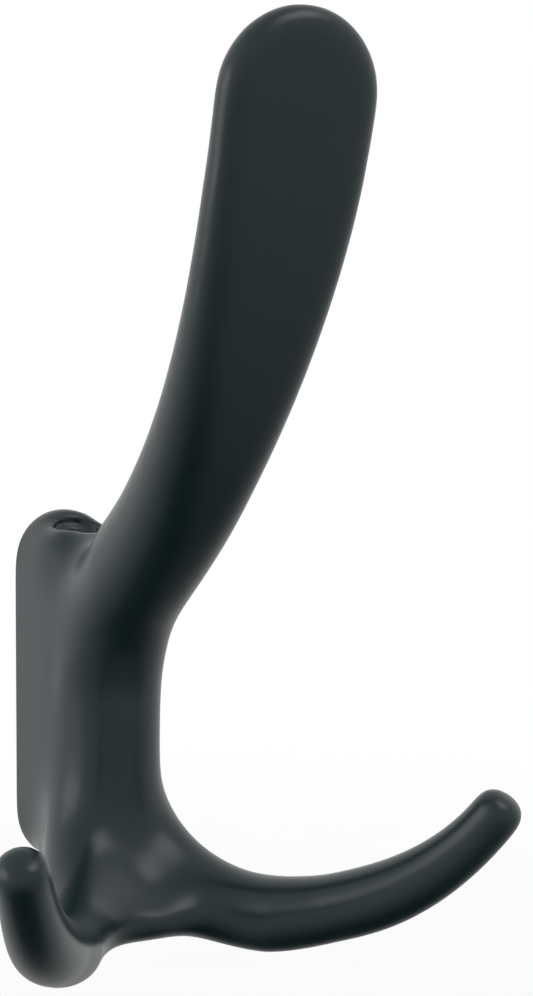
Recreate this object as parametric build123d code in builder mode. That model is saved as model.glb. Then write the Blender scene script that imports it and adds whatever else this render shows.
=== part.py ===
from build123d import *
from math import cos, radians, sin
import os

# Triple prong wall hook: one zinc die casting with a satin black coat.
# Frame: the wall is the plane Y = 0 and the hook stands out of it toward -Y.
# X runs along the wall and Z is up. The origin is the middle of the flat back face.
# Distances "out" are measured from the wall, distances "up" from the origin.

# Wall pad: a flat-backed bar with a round top and a round foot
pad_width = 18.2
pad_depth = 13.0
pad_height = 62.4

# Stem: the upright body in front of the pad
stem_width = 18.2
stem_depth = 18.3
stem_front = 26.2
stem_foot = -41.5
foot_round = 6.0
bend_start = -1.2
bend_radius = 28.2
bend_shares = (0.0, 0.33, 0.67)

# Upper prong: one long arc that leans forward at its root and rises to a flat paddle
root_lean = 55.2
cap_lean = 13.6
prong_radius = 123.3
paddle_width = 26.6
paddle_thick = 6.2
thin_power = 1.35
wide_power = 1.15
prong_stations = 7
corner_share = 0.46

# Arms: two round lower prongs that drop from the stem, turn out and rise to a blunt tip
arm_splay = 34.3
arm_root_out = 12.0
arm_root_up = 0.0
arm_drop_out = 2.4
elbow_radius = 29.8
elbow_up = -6.0
elbow_turn = 99.0
shallow_radius = 77.0
shallow_turn = 11.4
rise_radius = 49.6
rise_turn = 33.5
arm_radii = [(0.0, 6.4), (0.33, 7.4), (0.66, 5.5), (1.0, 3.7)]
arm_tip_length = 1.8
arm_tip_round = 1.5

# Screw hole, drilled down and back to the wall from the saddle behind the upper prong
screw_bore = 5.0
screw_head = 9.0
screw_head_seat = 6.0
screw_slope = 55.0
screw_mouth_out = 9.0

bend_out = stem_front - stem_depth / 2
root_out = bend_out + bend_radius * (1 - cos(radians(root_lean)))
root_up = bend_start + bend_radius * sin(radians(root_lean))
splay = radians(arm_splay)


def cross_plane(out, up, lean):
    """Plane square to a path in the middle plane, with its local Y toward the wall."""
    tilt = radians(lean)
    return Plane(origin=(0, -out, up), x_dir=(1, 0, 0), z_dir=(0, -sin(tilt), cos(tilt)))


def bend_plane(share):
    """Cross plane on the bend between the upright stem and the upper prong."""
    lean = root_lean * share
    tilt = radians(lean)
    return cross_plane(bend_out + bend_radius * (1 - cos(tilt)), bend_start + bend_radius * sin(tilt), lean)


def prong_plane(share):
    """Cross plane on the upper prong's arc."""
    lean = root_lean + (cap_lean - root_lean) * share
    out = root_out + prong_radius * (cos(radians(lean)) - cos(radians(root_lean)))
    up = root_up + prong_radius * (sin(radians(root_lean)) - sin(radians(lean)))
    return cross_plane(out, up, lean)


def bar_section(plane, width, depth):
    """Sketch of a bar section with large round corners."""
    with BuildSketch(plane) as section:
        RectangleRounded(width, depth, corner_share * min(width, depth))
    return section.sketch


def prong_section(share):
    """Sketch of the upper prong's section, which widens and thins out as it rises."""
    ease = sin(radians(90 * share)) ** thin_power
    width = stem_width + (paddle_width - stem_width) * (1 - cos(radians(180 * share ** wide_power))) / 2
    depth = stem_depth + (paddle_thick - stem_depth) * ease
    return bar_section(prong_plane(share), width, depth)


# Upper half of the stem and the upper prong, as one loft up to where the cap begins
cap_plane = prong_plane(1.0)
stem_sections = [bar_section(bend_plane(share), stem_width, stem_depth) for share in bend_shares]
stem_sections += [prong_section(index / prong_stations) for index in range(prong_stations + 1)]
with BuildPart() as stem:
    loft(sections=stem_sections)

# Cap: the paddle's half-round end, with the same rounded rim
face_plane = Plane(origin=cap_plane.origin, x_dir=(1, 0, 0), z_dir=-cap_plane.y_dir)
rim = corner_share * paddle_thick
rim_floor = paddle_width / 3
with BuildPart() as cap:
    with BuildSketch(face_plane):
        Circle(paddle_width / 2)
        with Locations((0, -paddle_width / 4)):
            Rectangle(paddle_width, paddle_width / 2)
    extrude(amount=paddle_thick / 2, both=True)
    flat_faces = cap.faces().filter_by(Axis((0, 0, 0), face_plane.z_dir))
    # The straight edges at the open end, far below the cap's middle, stay sharp and are split away
    rim_edges = flat_faces.edges().filter_by(lambda edge: (edge @ 0.5).Z > cap_plane.origin.Z - rim_floor)
    fillet(rim_edges, rim)
    split(bisect_by=cap_plane, keep=Keep.TOP)

# One lower prong; its twin is the mirror image
arm_plane = Plane(
    origin=(0, -arm_root_out, 0),
    x_dir=(sin(splay), -cos(splay), 0),
    z_dir=(-cos(splay), -sin(splay), 0),
)
with BuildPart() as arm:
    with BuildLine(arm_plane) as arm_path:
        drop = Line((arm_drop_out, arm_root_up), (arm_drop_out, elbow_up))
        elbow = JernArc(start=drop @ 1, tangent=drop % 1, radius=elbow_radius, arc_size=elbow_turn)
        shallow = JernArc(start=elbow @ 1, tangent=elbow % 1, radius=shallow_radius, arc_size=shallow_turn)
        JernArc(start=shallow @ 1, tangent=shallow % 1, radius=rise_radius, arc_size=rise_turn)
    spine = arm_path.wire()
    for share, radius in arm_radii:
        with BuildSketch(Plane(origin=spine @ share, x_dir=arm_plane.z_dir, z_dir=spine % share)):
            Circle(radius)
    sweep(path=spine, multisection=True)

# Blunt tip of a lower prong
tip_radius = arm_radii[-1][1]
tip_plane = Plane(origin=spine @ 1, x_dir=arm_plane.z_dir, z_dir=spine % 1)
with BuildPart(tip_plane) as tip:
    Cylinder(tip_radius, arm_tip_length, align=(Align.CENTER, Align.CENTER, Align.MIN))
    fillet(tip.edges().sort_by(Axis(tip_plane.origin, tip_plane.z_dir))[-1], arm_tip_round)

# Screw axis: local Z runs up and out of the mouth in the saddle at the pad's top
screw_tilt = radians(screw_slope)
screw_plane = Plane(
    origin=(0, -screw_mouth_out, pad_height / 2),
    x_dir=(1, 0, 0),
    z_dir=(0, -cos(screw_tilt), sin(screw_tilt)),
)
screw_reach = 2 * screw_mouth_out / cos(screw_tilt)

with BuildPart() as hook:
    # Lower stem, from inside the pad to the front, with a rounded foot
    with BuildSketch(cross_plane(bend_out, stem_foot, 0)):
        RectangleRounded(stem_width, stem_depth, corner_share * stem_width)
        with Locations((0, stem_depth / 4)):
            Rectangle(stem_width, stem_depth / 2)
    extrude(amount=bend_start - stem_foot)
    fillet(hook.faces().sort_by(Axis.Z)[0].edges(), foot_round)
    add(arm.part)
    add(mirror(arm.part, about=Plane.YZ, mode=Mode.PRIVATE))
    add(tip.part)
    add(mirror(tip.part, about=Plane.YZ, mode=Mode.PRIVATE))
    with BuildSketch(Plane.XZ):
        SlotOverall(pad_height, pad_width, rotation=90)
    extrude(amount=pad_depth)
    add(stem.part)
    add(cap.part)
    # The screw hole: a clearance bore to the wall, and a wider recess for the screw's head
    with BuildSketch(screw_plane):
        Circle(screw_bore / 2)
    extrude(amount=screw_reach, both=True, mode=Mode.SUBTRACT)
    with BuildSketch(screw_plane.offset(-screw_head_seat)):
        Circle(screw_head / 2)
    extrude(amount=2 * screw_head_seat, mode=Mode.SUBTRACT)

hook.part.label = "hook"
os.makedirs("parts", exist_ok=True)
export_step(hook.part, "parts/hook.step")
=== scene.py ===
import logging
from dataclasses import dataclass, field
from enum import Enum
from math import cos, hypot, pi, radians, sin

import bmesh
import bpy
from mathutils import Matrix, Vector


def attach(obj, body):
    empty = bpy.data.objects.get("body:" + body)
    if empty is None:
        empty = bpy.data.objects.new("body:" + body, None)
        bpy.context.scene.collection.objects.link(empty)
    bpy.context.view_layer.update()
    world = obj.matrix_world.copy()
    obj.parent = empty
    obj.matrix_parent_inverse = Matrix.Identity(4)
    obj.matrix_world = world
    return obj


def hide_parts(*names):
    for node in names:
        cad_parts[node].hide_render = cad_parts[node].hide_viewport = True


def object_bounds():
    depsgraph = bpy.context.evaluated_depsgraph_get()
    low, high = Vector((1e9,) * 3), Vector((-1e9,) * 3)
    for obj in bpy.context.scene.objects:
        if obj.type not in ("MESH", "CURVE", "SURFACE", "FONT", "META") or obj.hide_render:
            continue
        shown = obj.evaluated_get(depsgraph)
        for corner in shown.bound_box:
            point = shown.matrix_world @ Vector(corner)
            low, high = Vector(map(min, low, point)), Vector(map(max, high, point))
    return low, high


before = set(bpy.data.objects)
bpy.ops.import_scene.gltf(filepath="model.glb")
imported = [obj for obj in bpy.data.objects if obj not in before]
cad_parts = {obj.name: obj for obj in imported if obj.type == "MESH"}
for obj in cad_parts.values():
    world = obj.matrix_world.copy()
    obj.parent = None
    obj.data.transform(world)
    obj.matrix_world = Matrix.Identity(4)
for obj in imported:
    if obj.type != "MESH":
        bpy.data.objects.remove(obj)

log = logging.getLogger("wall_hook")
CAD_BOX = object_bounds()
MM = 0.001


class Surface(Enum):
    """Surfaces of the scene that get a material of their own."""

    COAT = "satin_coat"
    BORE = "thin_bore_coat"
    FLOOR = "pale_floor"


@dataclass(frozen=True)
class CoatFinish:
    """Numbers of a painted surface, with the grain's width and height in metres."""

    color: tuple[float, float, float]
    roughness: float
    roughness_spread: float
    grain: float
    grain_height: float
    ior: float = 1.5
    coat: float = 0.0
    coat_roughness: float = 0.22


FINISHES: dict[Surface, CoatFinish] = {
    Surface.COAT: CoatFinish(
        color=(0.0055, 0.0175, 0.0205),
        roughness=0.33,
        roughness_spread=0.05,
        grain=0.0006,
        grain_height=0.000005,
        ior=1.48,
        coat=0.08,
    ),
    Surface.BORE: CoatFinish(
        color=(0.0200, 0.0300, 0.0320),
        roughness=0.50,
        roughness_spread=0.10,
        grain=0.0005,
        grain_height=0.000012,
        ior=1.45,
    ),
    Surface.FLOOR: CoatFinish(
        color=(0.92, 0.92, 0.92),
        roughness=0.80,
        roughness_spread=0.05,
        grain=0.02,
        grain_height=0.000001,
    ),
}


@dataclass(frozen=True)
class ProngPath:
    """Line of a lower prong in its own upright plane, in millimetres and degrees.

    The line is the CAD source's. The radii are a little fuller towards the tip, where relaxing
    the skin would otherwise leave the prong too thin.
    """

    splay: float = 34.3
    root_out: float = 12.0
    drop_out: float = 2.4
    elbow_up: float = -6.0
    arcs: tuple[tuple[float, float], ...] = ((29.8, 99.0), (77.0, 11.4), (49.6, 33.5))
    radii: tuple[tuple[float, float], ...] = ((0.0, 6.4), (0.33, 7.4), (0.66, 5.6), (1.0, 4.1))
    step: float = 3.0
    least_steps: int = 4

    def flat_points(self) -> list[tuple[float, float]]:
        """Walk the drop and its three arcs.

        Returns:
            Points as (distance out along the prong's plane, height).
        """
        points = [(self.drop_out, 0.0)]
        along, up, heading = self.drop_out, self.elbow_up, -90.0
        points.append((along, up))
        for radius, turn in self.arcs:
            count = max(self.least_steps, round(turn / self.step))
            start = heading
            for index in range(1, count + 1):
                angle = radians(start + turn * index / count)
                points.append((
                    along + radius * (sin(angle) - sin(radians(start))),
                    up - radius * (cos(angle) - cos(radians(start))),
                ))
            heading = start + turn
            along, up = points[-1]
        return points

    def radius_at(self, share: float) -> float:
        """Radius of the prong at a share of its length.

        Args:
            share: Zero at the root, one at the tip.

        Returns:
            The radius in millimetres, eased between the stated ones.
        """
        for (low, r_low), (high, r_high) in zip(self.radii[:-1], self.radii[1:]):
            if share <= high:
                ease = (1 - cos(pi * (share - low) / (high - low))) / 2
                return r_low + (r_high - r_low) * ease
        return self.radii[-1][1]


@dataclass(frozen=True)
class Blend:
    """A place, with its mirror image, where the casting's forms run into each other, in metres."""

    centre: tuple[float, float, float]
    reach: float
    steps: int


@dataclass(frozen=True)
class Softening:
    """Numbers that turn the CAD's creases into the soft hollows of a casting, in metres.

    The skin is moved out by hollow and back again, which leaves that radius in every inner corner.
    The wall side first stands out by wall_stub, so that its edge stays sharp when it is trimmed.
    """

    hollow: float = 0.0050
    wall_stub: float = 0.008
    wall_tolerance: float = 1e-6
    merge: float = 0.5e-6
    voxel: float = 0.0006
    fine_voxel: float = 0.00048
    relax_out: int = 2
    relax_open: int = 6
    relax_close: int = 3
    relax_last: int = 4
    regain: float = 0.00012
    sharp_angle: float = 50.0
    blends: tuple[Blend, ...] = (
        Blend((0.0085, -0.0185, -0.0185), 0.021, 55),
        Blend((0.0050, -0.0300, -0.0340), 0.019, 60),
        Blend((0.0085, -0.0140, 0.0210), 0.0165, 70),
    )


@dataclass(frozen=True)
class FlankFill:
    """Flat flank between the wall pad and the stem, as an outline of (out, up) points in millimetres."""

    half_width: float = 8.95
    outline: tuple[tuple[float, float], ...] = (
        (2.0, -8.0), (14.5, -8.0), (16.0, 0.0), (19.5, 12.0), (22.5, 19.0), (15.0, 21.0), (2.0, 21.0),
    )


@dataclass(frozen=True)
class CrotchWeb:
    """Thin web under the stem where the two lower prongs part, in millimetres."""

    middle: tuple[float, float, float] = (0.0, -26.0, -35.7)
    half: tuple[float, float, float] = (13.5, 12.5, 4.5)
    subdivisions: int = 4


@dataclass(frozen=True)
class ScrewHole:
    """Bore and head recess of the screw hole, in millimetres and degrees, as in the CAD source.

    The flare widens the recess above the mouth, where it leaves the casting.
    """

    bore: float = 5.0
    head: float = 9.0
    seat: float = 6.0
    slope: float = 55.0
    mouth_out: float = 9.0
    mouth_up: float = 31.2
    run_past: float = 4.4
    flare: float = 1.0
    flare_from: float = 0.4
    flare_to: float = 3.4
    top: float = 9.0
    paint_margin: float = 0.45
    sides: int = 64

    def matrix(self) -> Matrix:
        """Placement whose local Z runs up and out of the mouth."""
        axis = Vector((0.0, -cos(radians(self.slope)), sin(radians(self.slope))))
        place = axis.to_track_quat("Z", "Y").to_matrix().to_4x4()
        place.translation = Vector((0.0, -self.mouth_out, self.mouth_up)) * MM
        return place

    def profile(self) -> list[tuple[float, float]]:
        """Outline of the cutter.

        Returns:
            Radius and height pairs, from behind the wall outwards.
        """
        deep = -self.run_past * self.mouth_out / cos(radians(self.slope))
        return [
            (self.bore / 2, deep),
            (self.bore / 2, -self.seat),
            (self.head / 2, -self.seat),
            (self.head / 2, self.flare_from),
            (self.head / 2 + self.flare, self.flare_to),
            (self.head / 2 + self.flare, self.top),
        ]


@dataclass(frozen=True)
class ViewPoint:
    """Camera of the photograph, in millimetres, degrees and pixels."""

    target: tuple[float, float, float] = (20.98, -35.6, 34.06)
    azimuth: float = 31.36
    pitch: float = 2.58
    distance: float = 347.8
    focal_px: float = 2056.8
    frame_height_px: float = 996.0
    sensor: float = 36.0


@dataclass(frozen=True)
class SoftLamp:
    """Square soft light that faces the hook, in metres and watts."""

    name: str
    place: tuple[float, float, float]
    size: float
    watts: float


@dataclass(frozen=True)
class StudioSky:
    """Brightness of the studio round the hook.

    The stops give it from straight below (zero) to straight above (one). It falls to front_share
    on the side of the hook's front, and is full from full_from on, measured along the wall's axis.
    """

    stops: tuple[tuple[float, float], ...] = (
        (0.0, 0.01), (0.05, 0.04), (0.12, 0.34), (0.28, 0.64),
        (0.46, 0.90), (0.58, 1.0), (0.8, 0.85), (1.0, 0.6),
    )
    front_share: float = 0.66
    full_from: float = 0.2


def socket(node: bpy.types.Node, name: str) -> bpy.types.NodeSocket:
    """Input socket of a node by its name."""
    return next(item for item in node.inputs if item.name == name)


def mesh_object(name: str, shape: bmesh.types.BMesh) -> bpy.types.Object:
    """Turn a mesh under construction into an object of the scene.

    Args:
        name: Name of the mesh and of the object.
        shape: The mesh under construction, which is freed.

    Returns:
        The new object, at the origin.
    """
    mesh = bpy.data.meshes.new(name)
    shape.to_mesh(mesh)
    shape.free()
    result = bpy.data.objects.new(name, mesh)
    bpy.context.scene.collection.objects.link(result)
    return result


class GrainGroup:
    """Shader node group with the fine grain of a sprayed coat."""

    NAME = "sprayed_grain"
    BROAD_SCALE = 90.0
    TINT_SWING = 0.12

    @classmethod
    def build(cls) -> bpy.types.NodeTree:
        """Make the group once.

        Returns:
            The node group, with sockets for colour, roughness and grain.
        """
        if cls.NAME in bpy.data.node_groups:
            return bpy.data.node_groups[cls.NAME]
        tree = bpy.data.node_groups.new(cls.NAME, "ShaderNodeTree")
        face = tree.interface
        for name, kind, value in (
            ("Color", "NodeSocketColor", (0.1, 0.1, 0.1, 1.0)),
            ("Roughness", "NodeSocketFloat", 0.4),
            ("Spread", "NodeSocketFloat", 0.05),
            ("Grain Scale", "NodeSocketFloat", 1000.0),
        ):
            face.new_socket(name, in_out="INPUT", socket_type=kind).default_value = value
        face.new_socket("Color", in_out="OUTPUT", socket_type="NodeSocketColor")
        face.new_socket("Roughness", in_out="OUTPUT", socket_type="NodeSocketFloat")
        face.new_socket("Height", in_out="OUTPUT", socket_type="NodeSocketFloat")
        nodes, links = tree.nodes, tree.links
        inlet = nodes.new("NodeGroupInput")
        outlet = nodes.new("NodeGroupOutput")
        place = nodes.new("ShaderNodeTexCoord")

        grain = nodes.new("ShaderNodeTexNoise")
        grain.inputs["Detail"].default_value = 2.0
        links.new(place.outputs["Object"], grain.inputs["Vector"])
        links.new(inlet.outputs["Grain Scale"], grain.inputs["Scale"])
        links.new(grain.outputs["Fac"], outlet.inputs["Height"])

        broad = nodes.new("ShaderNodeTexNoise")
        broad.inputs["Scale"].default_value = cls.BROAD_SCALE
        broad.inputs["Detail"].default_value = 3.0
        links.new(place.outputs["Object"], broad.inputs["Vector"])
        centred = nodes.new("ShaderNodeMath")
        centred.operation = "SUBTRACT"
        centred.inputs[1].default_value = 0.5
        links.new(broad.outputs["Fac"], centred.inputs[0])
        swing = nodes.new("ShaderNodeMath")
        swing.operation = "MULTIPLY_ADD"
        links.new(centred.outputs[0], swing.inputs[0])
        links.new(inlet.outputs["Spread"], swing.inputs[1])
        links.new(inlet.outputs["Roughness"], swing.inputs[2])
        links.new(swing.outputs[0], outlet.inputs["Roughness"])

        tint = nodes.new("ShaderNodeHueSaturation")
        lift = nodes.new("ShaderNodeMapRange")
        lift.inputs["To Min"].default_value = 1.0 - cls.TINT_SWING
        lift.inputs["To Max"].default_value = 1.0 + cls.TINT_SWING
        links.new(grain.outputs["Fac"], lift.inputs["Value"])
        links.new(lift.outputs["Result"], tint.inputs["Value"])
        links.new(inlet.outputs["Color"], tint.inputs["Color"])
        links.new(tint.outputs["Color"], outlet.inputs["Color"])
        return tree


@dataclass
class PaintShop:
    """Makes each surface's material from its finish."""

    finishes: dict[Surface, CoatFinish] = field(default_factory=lambda: dict(FINISHES))

    def material(self, surface: Surface) -> bpy.types.Material:
        """Make or find a surface's material.

        Args:
            surface: The surface to finish.

        Returns:
            A node material with grain, roughness and colour variation.
        """
        if surface.value in bpy.data.materials:
            return bpy.data.materials[surface.value]
        finish = self.finishes[surface]
        material = bpy.data.materials.new(surface.value)
        material.use_nodes = True
        nodes, links = material.node_tree.nodes, material.node_tree.links
        shader = nodes["Principled BSDF"]
        grain = nodes.new("ShaderNodeGroup")
        grain.node_tree = GrainGroup.build()
        grain.inputs["Color"].default_value = (*finish.color, 1.0)
        grain.inputs["Roughness"].default_value = finish.roughness
        grain.inputs["Spread"].default_value = finish.roughness_spread
        grain.inputs["Grain Scale"].default_value = 1.0 / finish.grain
        bump = nodes.new("ShaderNodeBump")
        bump.inputs["Strength"].default_value = 1.0
        bump.inputs["Distance"].default_value = finish.grain_height
        links.new(grain.outputs["Color"], shader.inputs["Base Color"])
        links.new(grain.outputs["Roughness"], shader.inputs["Roughness"])
        links.new(grain.outputs["Height"], bump.inputs["Height"])
        links.new(bump.outputs["Normal"], shader.inputs["Normal"])
        shader.inputs["IOR"].default_value = finish.ior
        shader.inputs["Coat Weight"].default_value = finish.coat
        shader.inputs["Coat Roughness"].default_value = finish.coat_roughness
        return material


class GeometryTree:
    """Geometry node trees of the casting, with named inputs."""

    EVERYWHERE = 10.0
    FADE_START = 0.25

    @staticmethod
    def _new(name: str, extra: tuple[tuple[str, str, object], ...]) -> bpy.types.NodeTree:
        """New tree with a geometry input, a geometry output and some inputs of its own.

        Args:
            name: The tree's name.
            extra: Name, socket type and default value of each further input.

        Returns:
            The tree, without nodes.
        """
        tree = bpy.data.node_groups.new(name, "GeometryNodeTree")
        tree.interface.new_socket("Geometry", in_out="INPUT", socket_type="NodeSocketGeometry")
        tree.interface.new_socket("Geometry", in_out="OUTPUT", socket_type="NodeSocketGeometry")
        for label, kind, value in extra:
            tree.interface.new_socket(label, in_out="INPUT", socket_type=kind).default_value = value
        tree.interface.new_socket("Material", in_out="INPUT", socket_type="NodeSocketMaterial")
        return tree

    @staticmethod
    def _finish(tree: bpy.types.NodeTree, inlet: bpy.types.Node, shape: bpy.types.NodeSocket) -> None:
        """End a tree in Realize Instances and Set Material.

        Args:
            tree: The tree to end.
            inlet: Its group input, which has the material.
            shape: The geometry that the tree puts out.
        """
        nodes, links = tree.nodes, tree.links
        real = nodes.new("GeometryNodeRealizeInstances")
        paint = nodes.new("GeometryNodeSetMaterial")
        outlet = nodes.new("NodeGroupOutput")
        links.new(shape, real.inputs[0])
        links.new(real.outputs[0], paint.inputs["Geometry"])
        links.new(inlet.outputs["Material"], paint.inputs["Material"])
        links.new(paint.outputs[0], outlet.inputs["Geometry"])

    @classmethod
    def prong_pair(cls) -> bpy.types.NodeTree:
        """Tree that sweeps a tapered round prong along a line and mirrors it.

        Returns:
            The tree, with the inputs Sides and Material.
        """
        tree = cls._new("prong_pair", (("Sides", "NodeSocketInt", 48),))
        nodes, links = tree.nodes, tree.links
        inlet = nodes.new("NodeGroupInput")
        circle = nodes.new("GeometryNodeCurvePrimitiveCircle")
        links.new(inlet.outputs["Sides"], circle.inputs["Resolution"])
        circle.inputs["Radius"].default_value = 1.0
        radius = nodes.new("GeometryNodeInputRadius")
        sweep = nodes.new("GeometryNodeCurveToMesh")
        sweep.inputs["Fill Caps"].default_value = True
        links.new(inlet.outputs["Geometry"], sweep.inputs["Curve"])
        links.new(circle.outputs["Curve"], sweep.inputs["Profile Curve"])
        links.new(radius.outputs[0], sweep.inputs["Scale"])
        twin = nodes.new("GeometryNodeTransform")
        twin.inputs["Scale"].default_value = (-1.0, 1.0, 1.0)
        flip = nodes.new("GeometryNodeFlipFaces")
        join = nodes.new("GeometryNodeJoinGeometry")
        links.new(sweep.outputs["Mesh"], twin.inputs["Geometry"])
        links.new(twin.outputs["Geometry"], flip.inputs["Mesh"])
        links.new(sweep.outputs["Mesh"], join.inputs[0])
        links.new(flip.outputs["Mesh"], join.inputs[0])
        cls._finish(tree, inlet, join.outputs[0])
        return tree

    @classmethod
    def soften(cls) -> bpy.types.NodeTree:
        """Tree that moves a skin along its normals and then relaxes it.

        Returns:
            The tree, with the inputs Offset, Relax Steps, Centre, Reach and Material. The relaxing
            fades out at the distance Reach from Centre and from its mirror image.
        """
        tree = cls._new("offset_and_relax", (
            ("Offset", "NodeSocketFloat", 0.0),
            ("Relax Steps", "NodeSocketInt", 4),
            ("Centre", "NodeSocketVector", (0.0, 0.0, 0.0)),
            ("Reach", "NodeSocketFloat", cls.EVERYWHERE),
        ))
        nodes, links = tree.nodes, tree.links
        inlet = nodes.new("NodeGroupInput")
        normal = nodes.new("GeometryNodeInputNormal")
        reach = nodes.new("ShaderNodeVectorMath")
        reach.operation = "SCALE"
        links.new(normal.outputs[0], reach.inputs[0])
        links.new(inlet.outputs["Offset"], socket(reach, "Scale"))
        move = nodes.new("GeometryNodeSetPosition")
        links.new(inlet.outputs["Geometry"], move.inputs["Geometry"])
        links.new(reach.outputs[0], move.inputs["Offset"])
        place = nodes.new("GeometryNodeInputPosition")
        blur = nodes.new("GeometryNodeBlurAttribute")
        blur.data_type = "FLOAT_VECTOR"
        links.new(place.outputs[0], socket(blur, "Value"))
        links.new(inlet.outputs["Relax Steps"], blur.inputs["Iterations"])
        parts = nodes.new("ShaderNodeSeparateXYZ")
        links.new(place.outputs[0], parts.inputs[0])
        side = nodes.new("ShaderNodeMath")
        side.operation = "ABSOLUTE"
        links.new(parts.outputs["X"], side.inputs[0])
        folded = nodes.new("ShaderNodeCombineXYZ")
        links.new(side.outputs[0], folded.inputs["X"])
        links.new(parts.outputs["Y"], folded.inputs["Y"])
        links.new(parts.outputs["Z"], folded.inputs["Z"])
        away = nodes.new("ShaderNodeVectorMath")
        away.operation = "DISTANCE"
        links.new(folded.outputs[0], away.inputs[0])
        links.new(inlet.outputs["Centre"], away.inputs[1])
        share = nodes.new("ShaderNodeMath")
        share.operation = "DIVIDE"
        links.new(away.outputs["Value"], share.inputs[0])
        links.new(inlet.outputs["Reach"], share.inputs[1])
        weight = nodes.new("ShaderNodeMapRange")
        weight.interpolation_type = "SMOOTHSTEP"
        weight.inputs["From Min"].default_value = cls.FADE_START
        weight.inputs["From Max"].default_value = 1.0
        weight.inputs["To Min"].default_value = 1.0
        weight.inputs["To Max"].default_value = 0.0
        links.new(share.outputs[0], weight.inputs["Value"])
        links.new(weight.outputs["Result"], blur.inputs["Weight"])
        settle = nodes.new("GeometryNodeSetPosition")
        links.new(move.outputs["Geometry"], settle.inputs["Geometry"])
        links.new(blur.outputs[0], settle.inputs["Position"])
        cls._finish(tree, inlet, settle.outputs["Geometry"])
        return tree


def add_tree(
    target: bpy.types.Object,
    tree: bpy.types.NodeTree,
    values: dict[str, object],
) -> None:
    """Put a node tree on an object and set its inputs.

    Args:
        target: The object that gets the modifier.
        tree: The geometry node tree.
        values: Input names and their values.
    """
    modifier = target.modifiers.new(tree.name, "NODES")
    modifier.node_group = tree
    sockets = {item.name: item.identifier for item in tree.interface.items_tree if item.in_out == "INPUT"}
    for name, value in values.items():
        modifier[sockets[name]] = value


def add_remesh(target: bpy.types.Object, voxel: float) -> None:
    """Put a voxel remesh on an object.

    Args:
        target: The object that gets the modifier.
        voxel: The voxels' size in metres.
    """
    remesh = target.modifiers.new("skin", "REMESH")
    remesh.mode = "VOXEL"
    remesh.voxel_size = voxel
    remesh.use_smooth_shade = True


def add_cut(target: bpy.types.Object, tool: bpy.types.Object) -> None:
    """Put a modifier on an object that takes another object's volume away.

    Args:
        target: The object that gets the modifier.
        tool: The closed mesh to take away.
    """
    cut = target.modifiers.new(tool.name, "BOOLEAN")
    cut.operation = "DIFFERENCE"
    cut.solver = "EXACT"
    cut.object = tool


def bake(source: bpy.types.Object, name: str) -> bpy.types.Object:
    """Turn an object and its modifiers into a plain mesh object.

    Args:
        source: The object to evaluate; it is removed.
        name: Name of the new object.

    Returns:
        The new object, at the origin.
    """
    bpy.context.view_layer.update()
    graph = bpy.context.evaluated_depsgraph_get()
    mesh = bpy.data.meshes.new_from_object(source.evaluated_get(graph), depsgraph=graph)
    result = bpy.data.objects.new(name, mesh)
    bpy.context.scene.collection.objects.link(result)
    bpy.data.objects.remove(source)
    mesh.name = name
    return result


@dataclass
class LowerProngs:
    """The pair of round lower prongs."""

    path: ProngPath = field(default_factory=ProngPath)
    sides: int = 48

    def build(self, material: bpy.types.Material) -> bpy.types.Object:
        """Sweep both prongs.

        Args:
            material: The coat.

        Returns:
            A mesh object with the prong and its twin.
        """
        line = bpy.data.curves.new("prong_line", "CURVE")
        line.dimensions = "3D"
        spline = line.splines.new("POLY")
        flat = self.path.flat_points()
        spline.points.add(len(flat) - 1)
        runs = [hypot(b[0] - a[0], b[1] - a[1]) for a, b in zip(flat[:-1], flat[1:])]
        total, walked = sum(runs), 0.0
        splay = radians(self.path.splay)
        for index, (along, up) in enumerate(flat):
            point = spline.points[index]
            out = self.path.root_out + along * cos(splay)
            point.co = (along * sin(splay) * MM, -out * MM, up * MM, 1.0)
            point.radius = self.path.radius_at(walked / total) * MM
            walked += runs[index] if index < len(runs) else 0.0
        holder = bpy.data.objects.new("prong_line", line)
        bpy.context.scene.collection.objects.link(holder)
        add_tree(holder, GeometryTree.prong_pair(), {"Sides": self.sides, "Material": material})
        return bake(holder, "prong_pair")


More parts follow.
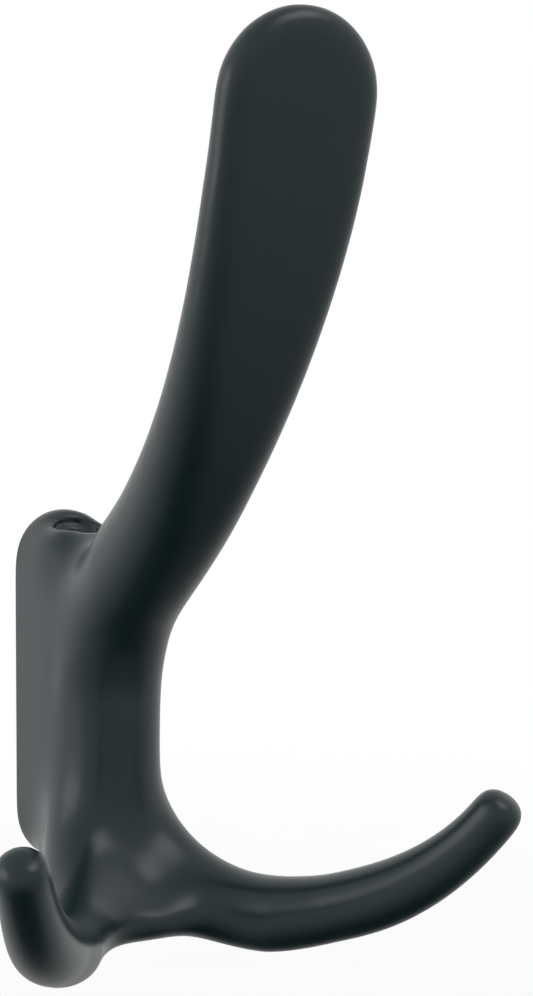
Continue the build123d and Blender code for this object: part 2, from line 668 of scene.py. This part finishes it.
@dataclass
class Casting:
    """The hook itself: the CAD solid with a casting's soft hollows."""

    softening: Softening = field(default_factory=Softening)
    hole: ScrewHole = field(default_factory=ScrewHole)
    flank: FlankFill = field(default_factory=FlankFill)
    web: CrotchWeb = field(default_factory=CrotchWeb)
    shop: PaintShop = field(default_factory=PaintShop)
    block_size: float = 0.2

    def _raw(self, node: bpy.types.Object) -> bpy.types.Object:
        """Merged copy of the CAD mesh, joined with the swept prongs.

        Args:
            node: The CAD node's object.

        Returns:
            The copy, whose wall side stands out behind the wall plane.
        """
        prongs = LowerProngs().build(self.shop.material(Surface.COAT))
        skin = bmesh.new()
        skin.from_mesh(node.data)
        bmesh.ops.remove_doubles(skin, verts=skin.verts, dist=self.softening.merge)
        for vertex in skin.verts:
            if vertex.co.y > -self.softening.wall_tolerance:
                vertex.co.y = self.softening.wall_stub
        skin.from_mesh(prongs.data)
        self._add_flank(skin)
        self._add_web(skin)
        bpy.data.objects.remove(prongs)
        return mesh_object("casting_raw", skin)

    def _add_flank(self, skin: bmesh.types.BMesh) -> None:
        """Add the flat flank as a closed prism.

        Args:
            skin: The mesh under construction.
        """
        left, right = (
            [skin.verts.new((side * self.flank.half_width * MM, -out * MM, up * MM))
             for out, up in self.flank.outline]
            for side in (-1.0, 1.0)
        )
        skin.faces.new(list(reversed(left)))
        skin.faces.new(right)
        for index in range(len(left)):
            after = (index + 1) % len(left)
            skin.faces.new((left[index], left[after], right[after], right[index]))

    def _add_web(self, skin: bmesh.types.BMesh) -> None:
        """Add the web between the prongs as a flattened ball.

        Args:
            skin: The mesh under construction.
        """
        shape = Matrix.Diagonal((*(size * MM for size in self.web.half), 1.0))
        place = Matrix.Translation(Vector(self.web.middle) * MM) @ shape
        bmesh.ops.create_icosphere(skin, subdivisions=self.web.subdivisions, radius=1.0, matrix=place)

    def _wall_block(self) -> bpy.types.Object:
        """Block behind the wall plane, which trims the back face flat.

        Returns:
            The block's object.
        """
        shape = bmesh.new()
        behind = Matrix.Translation((0.0, self.block_size / 2, 0.0))
        bmesh.ops.create_cube(shape, size=self.block_size, matrix=behind)
        return mesh_object("wall_block", shape)

    def _cutter(self) -> bpy.types.Object:
        """Turned body that cuts the bore and the recess for the screw's head.

        Returns:
            The cutter's object.
        """
        shape = bmesh.new()
        angles = [2 * pi * index / self.hole.sides for index in range(self.hole.sides)]
        rings = []
        for radius, height in self.hole.profile():
            rings.append([
                shape.verts.new((radius * MM * cos(angle), radius * MM * sin(angle), height * MM))
                for angle in angles
            ])
        for low, high in zip(rings[:-1], rings[1:]):
            for index in range(self.hole.sides):
                after = (index + 1) % self.hole.sides
                shape.faces.new((low[index], low[after], high[after], high[index]))
        shape.faces.new(list(reversed(rings[0])))
        shape.faces.new(rings[-1])
        shape.transform(self.hole.matrix())
        return mesh_object("hole_cutter", shape)

    def _fit_in_box(self, mesh: bpy.types.Mesh) -> None:
        """Keep every point inside the CAD's box.

        Args:
            mesh: The mesh to trim.
        """
        low, high = CAD_BOX
        for vertex in mesh.vertices:
            for axis in range(3):
                vertex.co[axis] = min(max(vertex.co[axis], low[axis]), high[axis])

    def _paint(self, mesh: bpy.types.Mesh) -> None:
        """Give the bore its own thinner coat and the rest the satin coat.

        Args:
            mesh: The casting's mesh.
        """
        mesh.materials.clear()
        mesh.materials.append(self.shop.material(Surface.COAT))
        mesh.materials.append(self.shop.material(Surface.BORE))
        inverse = self.hole.matrix().inverted()
        bore = (self.hole.bore / 2 + self.hole.paint_margin) * MM
        for polygon in mesh.polygons:
            polygon.use_smooth = True
            local = inverse @ polygon.center
            polygon.material_index = int(hypot(local.x, local.y) < bore and local.z < -self.hole.seat * MM)

    def build(self, node: bpy.types.Object) -> bpy.types.Object:
        """Make the dressed casting from the CAD node.

        Args:
            node: The CAD node's object, which stays as it is.

        Returns:
            The finished piece.
        """
        soft = self.softening
        coat = self.shop.material(Surface.COAT)
        relax = GeometryTree.soften()
        raw = self._raw(node)
        add_remesh(raw, soft.voxel)
        add_tree(raw, relax, {"Offset": soft.hollow, "Relax Steps": soft.relax_out, "Material": coat})
        add_remesh(raw, soft.voxel)
        add_tree(raw, relax, {"Offset": 0.0, "Relax Steps": soft.relax_open, "Material": coat})
        add_tree(raw, relax, {"Offset": -soft.hollow, "Relax Steps": soft.relax_close, "Material": coat})
        add_remesh(raw, soft.voxel)
        for blend in soft.blends:
            add_tree(raw, relax, {
                "Offset": 0.0,
                "Relax Steps": blend.steps,
                "Centre": blend.centre,
                "Reach": blend.reach,
                "Material": coat,
            })
        full = bake(raw, "casting_full")
        cutter = self._cutter()
        add_cut(full, cutter)
        add_remesh(full, soft.fine_voxel)
        add_tree(full, relax, {"Offset": soft.regain, "Relax Steps": soft.relax_last, "Material": coat})
        block = self._wall_block()
        add_cut(full, block)
        piece = bake(full, "hook_casting")
        bpy.data.objects.remove(cutter)
        bpy.data.objects.remove(block)
        self._fit_in_box(piece.data)
        self._paint(piece.data)
        piece.data.set_sharp_from_angle(angle=radians(soft.sharp_angle))
        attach(piece, "root")
        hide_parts("hook")
        log.info("casting: %d faces", len(piece.data.polygons))
        return piece


@dataclass
class Studio:
    """Floor, light and camera."""

    view: ViewPoint = field(default_factory=ViewPoint)
    light: StudioSky = field(default_factory=StudioSky)
    shop: PaintShop = field(default_factory=PaintShop)
    lamps: tuple[SoftLamp, ...] = (
        SoftLamp("soft_top", (0.25, -0.55, 0.75), 0.5, 1.6),
        SoftLamp("soft_left", (-0.75, 0.15, 0.15), 0.5, 1.0),
    )
    lamp_aim: tuple[float, float, float] = (0.0, -0.04, 0.03)
    floor_up: float = -0.075
    floor_radius: float = 0.9
    floor_sides: int = 96
    fade_from: float = 0.08
    fade_to: float = 0.45
    floor_most: float = 0.16
    near_clip: float = 0.01

    def floor(self) -> bpy.types.Object:
        """Pale round floor that fades into the white background.

        Returns:
            The floor's object.
        """
        shape = bmesh.new()
        bmesh.ops.create_circle(shape, cap_ends=True, radius=self.floor_radius, segments=self.floor_sides)
        shape.transform(Matrix.Translation((0.0, 0.0, self.floor_up)))
        floor = mesh_object("floor", shape)
        material = self.shop.material(Surface.FLOOR)
        nodes, links = material.node_tree.nodes, material.node_tree.links
        place = nodes.new("ShaderNodeTexCoord")
        length = nodes.new("ShaderNodeVectorMath")
        length.operation = "LENGTH"
        fade = nodes.new("ShaderNodeMapRange")
        fade.interpolation_type = "SMOOTHSTEP"
        fade.inputs["From Min"].default_value = self.fade_from
        fade.inputs["From Max"].default_value = self.fade_to
        fade.inputs["To Min"].default_value = self.floor_most
        fade.inputs["To Max"].default_value = 0.0
        links.new(place.outputs["Object"], length.inputs[0])
        links.new(length.outputs["Value"], fade.inputs["Value"])
        links.new(fade.outputs["Result"], nodes["Principled BSDF"].inputs["Alpha"])
        floor.data.materials.append(material)
        floor.visible_glossy = False
        return floor

    def sky(self) -> None:
        """White background for the camera, and a soft studio all round for the object."""
        world = bpy.data.worlds.new("studio")
        bpy.context.scene.world = world
        world.use_nodes = True
        nodes, links = world.node_tree.nodes, world.node_tree.links
        nodes.clear()
        place = nodes.new("ShaderNodeTexCoord")
        split = nodes.new("ShaderNodeSeparateXYZ")
        links.new(place.outputs["Generated"], split.inputs[0])
        heights = nodes.new("ShaderNodeMapRange")
        heights.inputs["From Min"].default_value = -1.0
        links.new(split.outputs["Z"], heights.inputs["Value"])
        ramp = nodes.new("ShaderNodeValToRGB")
        ramp.color_ramp.interpolation = "EASE"
        stops = self.light.stops
        elements = ramp.color_ramp.elements
        while len(elements) < len(stops):
            elements.new(0.5)
        for element, (position, value) in zip(elements, stops):
            element.position = position
            element.color = (value, value, value, 1.0)
        links.new(heights.outputs["Result"], ramp.inputs["Fac"])
        front = nodes.new("ShaderNodeMapRange")
        front.interpolation_type = "SMOOTHSTEP"
        front.inputs["From Min"].default_value = -1.0
        front.inputs["From Max"].default_value = self.light.full_from
        front.inputs["To Min"].default_value = self.light.front_share
        front.inputs["To Max"].default_value = 1.0
        links.new(split.outputs["Y"], front.inputs["Value"])
        scale = nodes.new("ShaderNodeVectorMath")
        scale.operation = "SCALE"
        links.new(ramp.outputs["Color"], scale.inputs[0])
        links.new(front.outputs["Result"], socket(scale, "Scale"))
        studio = nodes.new("ShaderNodeBackground")
        links.new(scale.outputs[0], studio.inputs["Color"])
        white = nodes.new("ShaderNodeBackground")
        white.inputs["Color"].default_value = (1.0, 1.0, 1.0, 1.0)
        path = nodes.new("ShaderNodeLightPath")
        mix = nodes.new("ShaderNodeMixShader")
        outlet = nodes.new("ShaderNodeOutputWorld")
        links.new(path.outputs["Is Camera Ray"], mix.inputs["Fac"])
        links.new(studio.outputs[0], mix.inputs[1])
        links.new(white.outputs[0], mix.inputs[2])
        links.new(mix.outputs[0], outlet.inputs["Surface"])

    def lamp(self, lamp: SoftLamp) -> None:
        """Add a square soft light that faces the hook.

        Args:
            lamp: The light's name, place, size and power.
        """
        data = bpy.data.lights.new(lamp.name, "AREA")
        data.size = lamp.size
        data.energy = lamp.watts
        holder = bpy.data.objects.new(lamp.name, data)
        holder.location = lamp.place
        aim = Vector(self.lamp_aim) - Vector(lamp.place)
        holder.rotation_euler = aim.to_track_quat("-Z", "Y").to_euler()
        bpy.context.scene.collection.objects.link(holder)

    def camera(self) -> bpy.types.Object:
        """Set up the photograph's camera.

        Returns:
            The camera's object.
        """
        view = self.view
        azimuth, pitch = radians(view.azimuth), radians(view.pitch)
        look = Vector((sin(azimuth) * cos(pitch), cos(azimuth) * cos(pitch), -sin(pitch)))
        data = bpy.data.cameras.new("photo_camera")
        data.sensor_width = view.sensor
        data.lens = view.focal_px * view.sensor / view.frame_height_px
        data.clip_start = self.near_clip
        camera = bpy.data.objects.new("photo_camera", data)
        camera.location = (Vector(view.target) - look * view.distance) * MM
        camera.rotation_euler = look.to_track_quat("-Z", "Y").to_euler()
        bpy.context.scene.collection.objects.link(camera)
        bpy.context.scene.camera = camera
        return camera

    def build(self) -> None:
        """Build the floor, the light and the camera."""
        bpy.context.scene.view_settings.view_transform = "Standard"
        self.floor()
        self.sky()
        for lamp in self.lamps:
            self.lamp(lamp)
        self.camera()
        log.info("studio: floor, sky, lamps and camera")


def main() -> None:
    """Build each piece in order and report it."""
    logging.basicConfig(level=logging.INFO, format="%(name)s: %(message)s")
    Casting().build(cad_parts["hook"])
    Studio().build()


if __name__ == "__main__":
    main()
